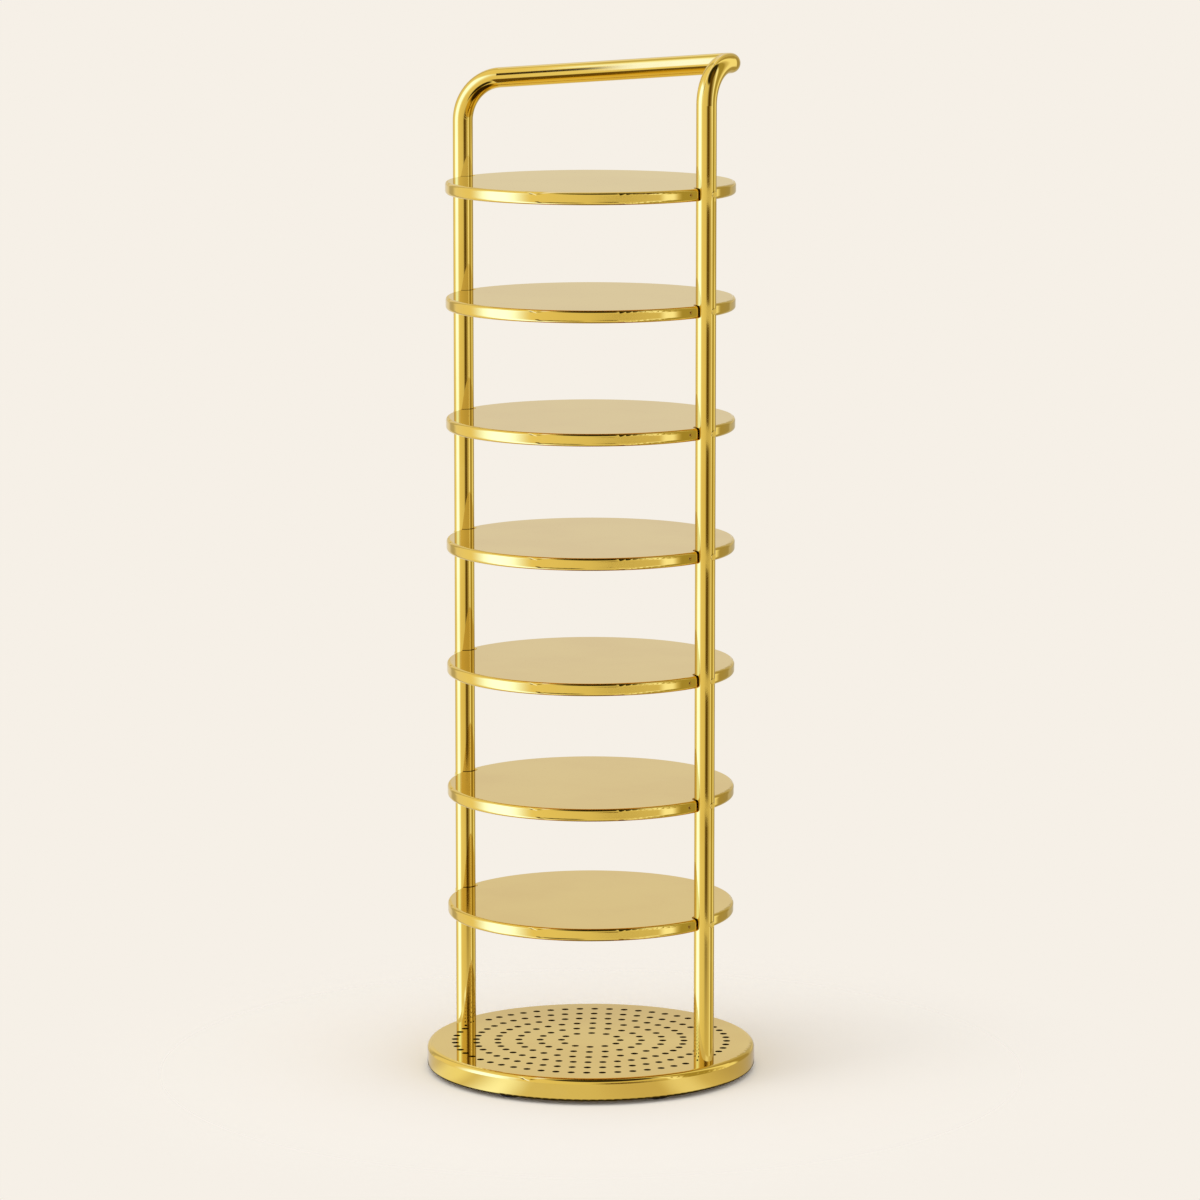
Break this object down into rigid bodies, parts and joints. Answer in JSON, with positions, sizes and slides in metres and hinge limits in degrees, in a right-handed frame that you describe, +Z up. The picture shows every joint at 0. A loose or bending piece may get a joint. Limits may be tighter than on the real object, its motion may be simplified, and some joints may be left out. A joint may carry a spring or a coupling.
{
  "type": "round shoe rack",
  "caption": "Free-standing round shoe rack: disc shelves hung on two tube posts over a weighted, perforated round base, with the posts joined by a bent tube handle.",
  "frame": {"origin": "on the axis of the shelves and base, at the floor", "axes": "+X from the left post to the right post, +Y to the back, +Z up"},
  "size_m": [0.3446, 0.3446, 1.0695],
  "materials": {
    "polished_gold": "mirror polished, gold plated",
    "satin_gold": "satin, gold plated inside",
    "zinc_steel": "bright zinc plated",
    "brown_lacquer": "satin lacquer",
    "black_rubber": "matte"
  },
  "bodies": {
    "root": {"left_post": "polished_gold", "right_post": "polished_gold", "handle": "polished_gold", "joiner_sleeves": "zinc_steel", "shelf_1_pan": "polished_gold", "shelf_1_underplate": "polished_gold", "shelf_1_saddles": "satin_gold", "shelf_1_bushes": "satin_gold", "shelf_1_cross_pins": "polished_gold", "shelf_1_rim_screws": "satin_gold", "shelf_2_pan": "polished_gold", "shelf_2_underplate": "polished_gold", "shelf_2_saddles": "satin_gold", "shelf_2_bushes": "satin_gold", "shelf_2_cross_pins": "polished_gold", "shelf_2_rim_screws": "satin_gold", "shelf_3_pan": "polished_gold", "shelf_3_underplate": "polished_gold", "shelf_3_saddles": "satin_gold", "shelf_3_bushes": "satin_gold", "shelf_3_cross_pins": "polished_gold", "shelf_3_rim_screws": "satin_gold", "shelf_4_pan": "polished_gold", "shelf_4_underplate": "polished_gold", "shelf_4_saddles": "satin_gold", "shelf_4_bushes": "satin_gold", "shelf_4_cross_pins": "polished_gold", "shelf_4_rim_screws": "satin_gold", "shelf_5_pan": "polished_gold", "shelf_5_underplate": "polished_gold", "shelf_5_saddles": "satin_gold", "shelf_5_bushes": "satin_gold", "shelf_5_cross_pins": "polished_gold", "shelf_5_rim_screws": "satin_gold", "shelf_6_pan": "polished_gold", "shelf_6_underplate": "polished_gold", "shelf_6_saddles": "satin_gold", "shelf_6_bushes": "satin_gold", "shelf_6_cross_pins": "polished_gold", "shelf_6_rim_screws": "satin_gold", "shelf_7_pan": "polished_gold", "shelf_7_underplate": "polished_gold", "shelf_7_saddles": "satin_gold", "shelf_7_bushes": "satin_gold", "shelf_7_cross_pins": "polished_gold", "shelf_7_rim_screws": "satin_gold", "base_pan": "polished_gold", "base_plate": "satin_gold", "ballast_plate": "brown_lacquer", "base_plate_screws": "zinc_steel", "foot_pads": "black_rubber", "post_plugs": "zinc_steel", "post_spacers": "zinc_steel", "bolt_washers": "zinc_steel", "post_bolts": "zinc_steel"}
  },
  "joints": []
}
